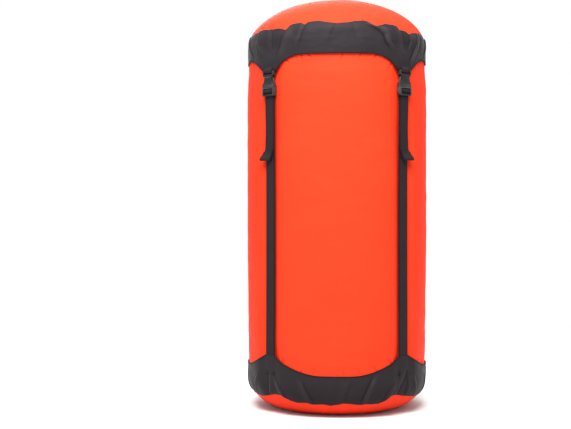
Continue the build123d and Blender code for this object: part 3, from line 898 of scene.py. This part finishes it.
def make_band(name, fixed_edge, free_edge, folds, cover, seed, rows=60):
    """A gathered band between its arched edge, which is sewn flat, and its free ruffled edge."""
    around = columns(720)
    share = np.linspace(0, 1, rows)[:, None] + 0 * around[None, :]
    angle = around[None, :] + 0 * share
    height = fixed_edge(around) + (free_edge(around) - fixed_edge(around)) * share
    puff = smooth(0, 0.3, share) * (1 - 0.6 * smooth(0.8, 1.0, share))
    soft = waves(angle, height * 0.5, seed, turns=30, pitch=(50, 90), count=22)
    folded = fold_lift(angle, height, folds)
    lift = 0.7 + 0.45 * puff + 0.24 * soft * smooth(0.05, 0.5, share) + folded
    lift = np.maximum(lift, 0.65) + cover(angle, height)
    points = skin(angle, height, lift)
    faces = grid_faces(rows, len(around))
    if free_edge(np.array([0.0]))[0] < fixed_edge(np.array([0.0]))[0]:
        faces = [face[::-1] for face in faces]
    cloth = cloth_places(angle, height)
    # The fold height drives painted shade in the creases and a painted highlight on the ridges.
    cloth[..., 2] = folded
    band = mesh_object(name, points, faces, cloth)
    solidify(band, BAND_THICK)
    return band


def lid_cover(angle, height):
    """The lid band's points bulge over the webbing loops that are sewn in under them."""
    across = np.exp(-((strap_distance(angle) / 15) ** 3))
    return 3.9 * across * fading(429, 452, height)


def base_cover(angle, height):
    """The base band's points bulge over the ends of the straps."""
    across = np.exp(-((strap_distance(angle) / 14) ** 3))
    return 2.4 * across * smooth(BASE_BAND_HIGH - 32, BASE_BAND_HIGH - 4, height)


def arch_path(span, arches, point):
    """Angles and heights along one arch's edge, from one strap's point to the next."""
    arch, tip, corner = arches[span % 2]
    half_span = math.pi / 2 - STRAP_ANGLE if span % 2 else STRAP_ANGLE
    turn = math.acos(1 - abs(tip - arch) / corner)
    straight = RADIUS * math.sin(half_span) - point - corner * math.sin(turn)
    steps = np.linspace(turn, 0, 40)
    right = np.stack([straight + corner * np.sin(steps), corner * (1 - np.cos(steps))], axis=-1)
    flat_x = np.linspace(straight, -straight, 60)[1:-1]
    path = np.concatenate([right, np.stack([flat_x, 0 * flat_x], axis=-1), right[::-1] * np.array([-1, 1])])
    angle = span * math.pi / 2 + np.arcsin(path[:, 0] / RADIUS)
    return angle, arch + path[:, 1] * math.copysign(1, tip - arch)


def make_binding(name, arches, point, cover):
    """The thin tape sewn along the four arches of a band, as one object."""
    parts = []
    for span in range(4):
        angle, height = arch_path(span, arches, point)
        centres = skin(angle, height, 0.5 + cover(angle, height))
        parts.append(sweep(f"{name}_{span}", centres, skin_normal(angle, height),
                           round_section(BINDING_WIDTH / 2, 10, flatten=0.7)))
    return join(parts, name)


def join(parts, name):
    """Joins objects into one."""
    bpy.ops.object.select_all(action="DESELECT")
    for part in parts:
        part.select_set(True)
    bpy.context.view_layer.objects.active = parts[0]
    bpy.ops.object.join()
    parts[0].name = name
    parts[0].data.name = name
    return parts[0]


# ---- Stitches ----
def make_stitches(name, paths, pitch=3.0, length=2.2, radius=0.17):
    """Rows of sewn stitches: small lozenges of thread along paths, each path as (points, normals)."""
    turns = [k * math.pi / 3 for k in range(6)]
    lozenge = [(shift * length, size * radius * math.cos(turn), 0.8 * size * radius * math.sin(turn))
               for shift, size in ((-0.32, 0.8), (0.0, 1.0), (0.32, 0.8)) for turn in turns]
    lozenge += [(-length / 2, 0, -radius), (length / 2, 0, -radius)]
    ahead, aside, up = (np.array(part)[:, None] for part in zip(*lozenge))
    facets = grid_faces(3, 6)
    for k in range(6):
        facets += [[(k + 1) % 6, k, 18], [12 + k, 12 + (k + 1) % 6, 19]]
    vertices = []
    for points, normals in paths:
        along = distance_along(points)
        middles = np.arange(pitch / 2, along[-1], pitch)
        centre = at_distances(middles, along, points)
        before, after = (at_distances(middles + step, along, points) for step in (-0.5, 0.5))
        tangent = unit(after - before)
        normal = unit(at_distances(middles, along, normals))
        side = np.cross(normal, tangent)
        centre, tangent, normal, side = (axis[:, None] for axis in (centre, tangent, normal, side))
        vertices.append((centre + ahead * tangent + aside * side + up * normal).reshape(-1, 3))
    vertices = np.concatenate(vertices)
    firsts = range(0, len(vertices), len(lozenge))
    return mesh_object(name, vertices, [[first + k for k in facet] for first in firsts for facet in facets])


def seam_stitches(name, low, high):
    """Two rows of stitches along a stretch of the wall's seam."""
    height = np.linspace(low, high, 200)
    rows = []
    for side in (-2.4, 2.4):
        angle = np.full(len(height), math.pi + side / RADIUS)
        rows.append((skin(angle, height, 0.75), skin_normal(angle, height)))
    return make_stitches(name, rows)


def arch_rows(arches, point, cover):
    """Paths for stitches that run beside the four arches of a band, inside the band."""
    paths = []
    into_band = math.copysign(1, arches[0][0] - arches[0][1])
    for span in range(4):
        angle, height = arch_path(span, arches, point)
        points = skin(angle, height, 0.9 + cover(angle, height))
        normals = skin_normal(angle, height)
        inward = unit(np.cross(np.gradient(points, axis=0), normals))
        inward = inward * np.sign(inward[len(inward) // 2, 2] * into_band)
        paths.append((points + inward * STITCH_INSET, normals))
    return paths


# ---- Straps ----
def webbing_strip(name, degrees_, distance, height, shift=0.0, twist=0.0, width=WEBBING_WIDTH,
                  thick=WEBBING_THICK):
    """Webbing at a strap, along points given by their distance from the axis, height and shift along the
    skin. A twist turns its width away from the skin."""
    turn = math.radians(degrees_)
    out = np.array([math.sin(turn), -math.cos(turn), 0])
    side = np.array([math.cos(turn), math.sin(turn), 0])
    distance, height, shift, twist = (
        part[:, None] for part in np.broadcast_arrays(distance, height, shift, twist))
    centres = distance * out + shift * side + height * np.array([0, 0, 1])
    across = np.cos(twist) * side + np.sin(twist) * out
    outward = unit(np.cross(across, unit(np.gradient(centres, axis=0))))
    return sweep(name, centres, outward, webbing_section(width, thick), across=across)


def strap_run(station, degrees_):
    """The strap up the sack, from the base band's point to the back of the buckle."""
    rng = np.random.default_rng(60 + int(degrees_) % 7)
    height = np.linspace(BASE_BAND_HIGH - 0.5, RUN_TOP, 150)
    phase = rng.uniform(0, 6)
    sway = 0.5 * np.sin(height / 95 + phase) * smooth(71, 130, height) * fading(330, 380, height)
    return webbing_strip(f"strap_up_{station}", degrees_, RUN_CENTRE, height, sway)


def strap_anchor(station, degrees_):
    """The end of the strap that is sewn in under the base band's point, a little smaller than the run."""
    height = np.linspace(50, BASE_BAND_HIGH + 1.5, 16)
    return webbing_strip(f"strap_anchor_{station}", degrees_, RUN_CENTRE, height,
                         width=WEBBING_WIDTH - 0.2, thick=WEBBING_THICK - 0.1)


TAIL_LOW = 311.0
TAIL_TWIST = math.radians(22)
TAIL_SHIFT = 4.0


def tail_route():
    """The adjusting end from behind the middle bar, over it, behind the end bar and down to its fold."""
    bar_n, bar_z = MIDDLE_BAR
    bend = bar_n - RUN_CENTRE
    over = arc_points(MIDDLE_BAR, bend, 180, -180)
    down = rounded_path(
        [(bar_n + bend, bar_z), (bar_n + bend, bar_z - 0.9), (TAIL_CENTRE, bar_z - 3.9),
         (TAIL_CENTRE, 330), (TAIL_CENTRE - 0.2, TAIL_LOW + 2)],
        [0.8, 0.8, 20],
    )
    fold = arc_points((TAIL_CENTRE + 1.3, TAIL_LOW + 1.5), 1.5, 180, 180)
    back_up = rounded_path(
        [(TAIL_CENTRE + 2.8, TAIL_LOW + 2), (TAIL_CENTRE + 1.3, TAIL_LOW + 7),
         (TAIL_CENTRE + 1.25, TAIL_LOW + 10.5)],
        [8],
    )
    start = np.array([[RUN_CENTRE, RUN_TOP], [RUN_CENTRE, RUN_TOP + 2.5]])
    return np.concatenate([start, over, down[1:], fold[1:], back_up[1:]])


def strap_tail(station, degrees_, outward_sign):
    """The hanging end of the strap. Its last stretch swings outward and twists away from the sack."""
    distance, height = tail_route().T
    swing = fading(TAIL_LOW - 3, TAIL_LOW + 16, height)
    bow = 0.9 * np.exp(-(((height - 350) / 18) ** 2))
    return webbing_strip(f"strap_end_{station}", degrees_, distance + 2.4 * swing, height,
                         outward_sign * (TAIL_SHIFT * swing - bow), outward_sign * TAIL_TWIST * swing)


def buckle_loop(station, degrees_):
    """The webbing loop under the lid band's point that holds the buckle's socket."""
    front = RUN_CENTRE + WEBBING_THICK + 0.1
    bar_n, bar_z = LOOP_BAR
    bend = bar_n - RUN_CENTRE
    up = rounded_path([(bar_n + bend, bar_z), (bar_n + bend, bar_z + 1.6), (front, bar_z + 6.5),
                       (front, 433)], [1.5, 1.5])
    under = arc_points(LOOP_BAR, bend, 180, 180)
    route = np.concatenate([[(RUN_CENTRE, 433), (RUN_CENTRE, 426)], under, up[1:]])
    return webbing_strip(f"socket_loop_{station}", degrees_, *route.T, width=LOOP_WIDTH)


# ---- Moulded pieces ----
MOULD_RADII = {"buckle_socket": 0.35, "buckle_plug": 0.3, "prong_left": 0.25, "prong_right": 0.25}
BODY_OF = {node: body for body, nodes in frame["record"]["behaviour"]["bodies"].items() for node in nodes}


def softened_copy(node, bevel, material, slot):
    """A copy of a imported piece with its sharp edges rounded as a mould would."""
    source = frame["nodes"][node]
    mesh = source.data.copy()
    mesh.materials.clear()
    shape = bmesh.new()
    shape.from_mesh(mesh)
    bmesh.ops.remove_doubles(shape, verts=shape.verts, dist=0.002 * MM)
    bmesh.ops.dissolve_limit(shape, angle_limit=math.radians(1.0), verts=shape.verts, edges=shape.edges)
    shape.to_mesh(mesh)
    shape.free()
    mesh.shade_smooth()
    copy = new_object(f"moulded_{node}", mesh)
    copy.matrix_world = source.matrix_world.copy()
    rounding = copy.modifiers.new("Mould radius", "BEVEL")
    rounding.width = bevel * MM
    rounding.segments = 2
    rounding.limit_method = "ANGLE"
    rounding.angle_limit = math.radians(35)
    rounding.harden_normals = True
    return place(copy, BODY_OF[node], material, slot, node)


# ---- Gathered mouth ----
MOUTH_PLEATS = 27
SHOULDER_RISE = 38  # height of the gathered shoulder's curve
HEM_TUBE = 3.25  # radius of the drawcord's channel


def uneven_turn(angle):
    """The angle, with the pleats' uneven spacing."""
    return angle + 0.045 * np.sin(3 * angle + 1.0) + 0.03 * np.sin(7 * angle)


def mouth_folds(angle, radius):
    """Height of the folds that the drawcord gathers: none at the wall, deep at the mouth."""
    closeness = fading(48, 108, radius)
    uneven = uneven_turn(angle)
    wave = np.cos(MOUTH_PLEATS * uneven) + 0.35 * np.cos(2 * MOUTH_PLEATS * uneven + 0.7)
    return 1.9 * closeness * wave


def make_mouth():
    """The gathered upper end of the sack, up to the drawcord's hem."""
    reach = np.radians(np.linspace(-4, 68.0, 40))
    radius = (WALL_TOP_RADIUS * np.cos(reach))[3:]
    height = (WALL_TOP + SHOULDER_RISE * np.sin(reach))[3:]
    radius = np.concatenate([[WALL_TOP_RADIUS - 0.9] * 2, radius, [MOUTH_RADIUS + 0.3, MOUTH_RADIUS]])
    height = np.concatenate([[WALL_TOP - 5, WALL_TOP - 1], height, [NECK_TOP - 3, NECK_TOP + 1]])
    angle, radius = np.meshgrid(np.linspace(-math.pi, math.pi, 432, endpoint=False), radius)
    height = height[:, None] + 0 * angle
    up = np.clip((height - WALL_TOP) / SHOULDER_RISE, 0, 1)
    out = np.sqrt(1 - up**2)
    lift = mouth_folds(angle, radius) - 0.2
    lift = lift * smooth(WALL_TOP - 1, WALL_TOP + 8, height)
    at_neck = smooth(NECK_TOP - 4, NECK_TOP, height)
    radius = radius + lift * (out * (1 - at_neck) + at_neck * 0.5)
    height = height + lift * up * (1 - at_neck)
    points = ring_points(angle, radius, height)
    mouth = mesh_object("mouth_gather", points, grid_faces(*angle.shape), cloth_places(angle, height))
    solidify(mouth, MOUTH_THICK)
    return mouth


def make_hem():
    """The drawcord's channel: a gathered fabric ring."""
    angle, turn = np.meshgrid(np.linspace(-math.pi, math.pi, 432, endpoint=False),
                              np.linspace(0, 2 * math.pi, 20, endpoint=False))
    uneven = uneven_turn(angle)
    tube = HEM_TUBE + 0.35 * np.cos(MOUTH_PLEATS * uneven) + 0.12 * np.cos(5 * MOUTH_PLEATS * uneven)
    radius = MOUTH_RADIUS + tube * np.cos(turn) + 0.3 * np.cos(MOUTH_PLEATS * uneven)
    height = HEM_Z + tube * np.sin(turn)
    points = ring_points(angle, radius, height)
    rows, count = angle.shape
    faces = grid_faces(rows, count)
    last = (rows - 1) * count
    faces += [[last + k, last + (k + 1) % count, (k + 1) % count, k] for k in range(count)]
    cloth = np.stack([MOUTH_RADIUS * angle, HEM_TUBE * turn, 0 * angle], axis=-1)
    return mesh_object("mouth_hem", points, faces, cloth)


CORD_RADIUS = 1.25
CORD_SPACING = 2.2
CORD_BEND = 4.0
KNOT_X = 76.5
KNOT_SIZE = 0.80


def make_drawcord():
    """The braided cord round the hem, its two ends through the lock and the knot that joins them."""
    bend_y = CORD_SPACING + CORD_BEND
    bend_x = math.sqrt((MOUTH_RADIUS + CORD_BEND) ** 2 - bend_y**2)
    leave = math.degrees(math.asin(bend_y / (MOUTH_RADIUS + CORD_BEND)))
    straight = np.linspace(KNOT_X, bend_x + 0.5, 24)
    out_leg = np.stack([straight, CORD_SPACING + 0 * straight], axis=-1)
    bend_in = arc_points((bend_x, bend_y), CORD_BEND, -90, leave - 90, 10)
    ring = arc_points((0, 0), MOUTH_RADIUS, leave, 360 - 2 * leave, 150)[1:-1]
    bend_out = arc_points((bend_x, -bend_y), CORD_BEND, 180 - leave, leave - 90, 10)
    route = np.concatenate([out_leg, bend_in, ring, bend_out, out_leg[::-1] * np.array([1, -1])])
    centres = np.column_stack([route, np.full(len(route), HEM_Z)])
    up = np.tile([0.0, 0.0, 1.0], (len(centres), 1))
    cord = sweep("cord_loop", centres, up, round_section(CORD_RADIUS, 12))
    turn = np.linspace(0, 2 * math.pi, 97)
    knot = np.column_stack([
        KNOT_X + KNOT_SIZE * (np.sin(turn) + 2 * np.sin(2 * turn)),
        KNOT_SIZE * (np.cos(turn) - 2 * np.cos(2 * turn)),
        HEM_Z - 1.5 * KNOT_SIZE * np.sin(3 * turn),
    ])
    tied = sweep("cord_knot", knot, unit(np.cross(np.gradient(knot, axis=0), [0.3, 0.2, 1.0])),
                 round_section(CORD_RADIUS, 10))
    return join([cord, tied], "drawcord_braid")


# ---- The whole sack ----
wall_foot, wall, wall_head = make_wall()
for piece, body, node in ((wall_foot, "base", "sack_tube_lower"), (wall, "base", "sack_tube_middle"),
                          (wall_head, "mouth", "sack_tube_upper")):
    place(piece, body, shell_fabric, "shell_fabric", node)
squash_between(wall, *WALL_CUTS)
base_cap = place(make_base_cap(), "base", shell_fabric_flat, "shell_fabric", "base_panel")
dome = place(make_dome(), "lid", shell_fabric_flat, "shell_fabric", "lid_panel")

for body, arch, edge, folds, cover, seed in (
        ("lid", lid_arch, lid_edge, all_round(LID_FOLDS, LID_FOLD_SEED), lid_cover, 71),
        ("base", base_arch, base_edge, all_round(BASE_FOLDS, BASE_FOLD_SEED), base_cover, 72)):
    place(make_band(f"{body}_band", arch, edge, folds, cover, seed), body, harness_fabric, "harness_fabric",
          f"{body}_harness")
SEWN_EDGES = (("lid", LID_ARCHES, LID_POINT, lid_cover), ("base", BASE_ARCHES, BASE_POINT, base_cover))
for body, *edge in SEWN_EDGES:
    place(make_binding(f"{body}_piping", *edge), body, binding_tape, "binding_tape",
          f"{body}_harness_binding")
for body, *edge in SEWN_EDGES:
    place(make_stitches(f"{body}_stitches", arch_rows(*edge)), body, dark_thread, "binding_tape")

place(seam_stitches("seam_stitches_foot", WALL_LOW + SEAM_MARGIN, WALL_CUTS[0]), "base", orange_thread,
      "shell_fabric")
seam = place(seam_stitches("wall_seam_stitches", *WALL_CUTS), "base", orange_thread, "shell_fabric")
squash_between(seam, *WALL_CUTS)
place(seam_stitches("seam_stitches_head", WALL_CUTS[1], WALL_TOP - SEAM_MARGIN), "mouth", orange_thread,
      "shell_fabric")

place(make_mouth(), "mouth", shell_fabric, "shell_fabric", "mouth_shoulder")
place(make_hem(), "mouth", shell_fabric, "shell_fabric", "drawcord_hem")
place(make_drawcord(), "mouth", mouth_cord, "cord", "drawcord")

for station, degrees_ in STATIONS.items():
    run = place(strap_run(station, degrees_), "base", strap_webbing, "webbing", f"strap_run_{station}")
    squash_between(run, BASE_BAND_HIGH, RUN_TOP)
    place(strap_anchor(station, degrees_), "base", strap_webbing, "webbing")
    outward_sign = 1 if station in ("front_right", "rear_left") else -1
    place(strap_tail(station, degrees_, outward_sign), f"plug_{station}", strap_webbing, "webbing",
          f"strap_tail_{station}")
    place(buckle_loop(station, degrees_), "lid", strap_webbing, "webbing", f"buckle_loop_{station}")
    for piece, bevel in MOULD_RADII.items():
        softened_copy(f"{piece}_{station}", bevel, buckle_plastic, "buckle_plastic")

for node, material in (("cord_lock_barrel", lock_plastic), ("cord_lock_button", lock_plastic),
                       ("cord_lock_spring", wire_steel)):
    kept = frame["nodes"][node]
    for material_slot in kept.material_slots:
        material_slot.material = material


# ---- Floor, light and camera ----
LENS = 67.65
SENSOR_WIDTH = 36
CAMERA_PLACE = (0, -1.391, 0.245)
CAMERA_TURN = 2.725  # degrees to the left
FLOOR_RADIUS = 0.85
FLOOR_DROP = 0.0002  # keeps the floor just below the sack's foot
DIM_WORLD = 0.84  # strength of the white world as a light; the camera sees it at full strength


def make_floor():
    """A pale floor, darker near the sack so that it sends less bounce light up onto it, and lighter
    further out, as painted light that keeps its dimmer and shadowed parts white.
    """
    bpy.ops.mesh.primitive_circle_add(vertices=96, radius=FLOOR_RADIUS, fill_type="NGON",
                                      location=(0, 0, -FLOOR_DROP))
    floor = bpy.context.object
    floor.name = "studio_floor"
    shader = Shader("studio_floor")
    away = shader.node("VectorMath", {0: shader.solid_place()}, operation="LENGTH").outputs["Value"]
    outer = shader.between(away, 0, 1, start=130.0, end=420.0)
    # Painted light: lighter away from the sack, where less light reaches it and its shadow falls.
    tone_and_painted_light = shader.blend(outer, (0.66, 0.66, 0.66, 1), (0.85, 0.85, 0.85, 1))
    floor.data.materials.append(shader.finish(Base_Color=tone_and_painted_light, Roughness=0.9, Specular_IOR_Level=0.1))


def softbox(name, location, size, power, target=(0, 0, 0.26)):
    """A square area light that faces the sack."""
    lamp = bpy.data.lights.new(name, "AREA")
    lamp.shape = "RECTANGLE"
    lamp.size, lamp.size_y = size
    lamp.energy = power
    made = new_object(name, lamp)
    made.location = location
    made.rotation_euler = (Vector(target) - Vector(location)).to_track_quat("-Z", "Y").to_euler()


def make_camera():
    """The camera stands level, in front, and looks a little to the left of the sack."""
    data = bpy.data.cameras.new("camera")
    data.lens = LENS
    data.sensor_width = SENSOR_WIDTH
    camera = new_object("camera", data)
    camera.location = CAMERA_PLACE
    camera.rotation_euler = (math.radians(90), 0, math.radians(CAMERA_TURN))
    bpy.context.scene.camera = camera


make_floor()
make_camera()
softbox("key", (-0.09, -0.78, 1.16), (0.8, 0.5), 38, (0, 0, 0.36))
softbox("top", (0.0, 0.3, 1.8), (2.0, 2.0), 16)
softbox("back", (-0.25, 1.3, 1.15), (0.8, 0.6), 10)
world = bpy.data.worlds.new("studio")
world.use_nodes = True
tree = world.node_tree
background = tree.nodes["Background"].inputs
background["Color"].default_value = (1, 1, 1, 1)
seen = tree.nodes.new("ShaderNodeLightPath").outputs["Is Camera Ray"]
strength = tree.nodes.new("ShaderNodeMapRange")
strength.inputs["To Min"].default_value = DIM_WORLD
strength.inputs["To Max"].default_value = 1.0
tree.links.new(seen, strength.inputs["Value"])
tree.links.new(strength.outputs[0], background["Strength"])
bpy.context.scene.world = world
bpy.context.scene.view_settings.view_transform = "Standard"
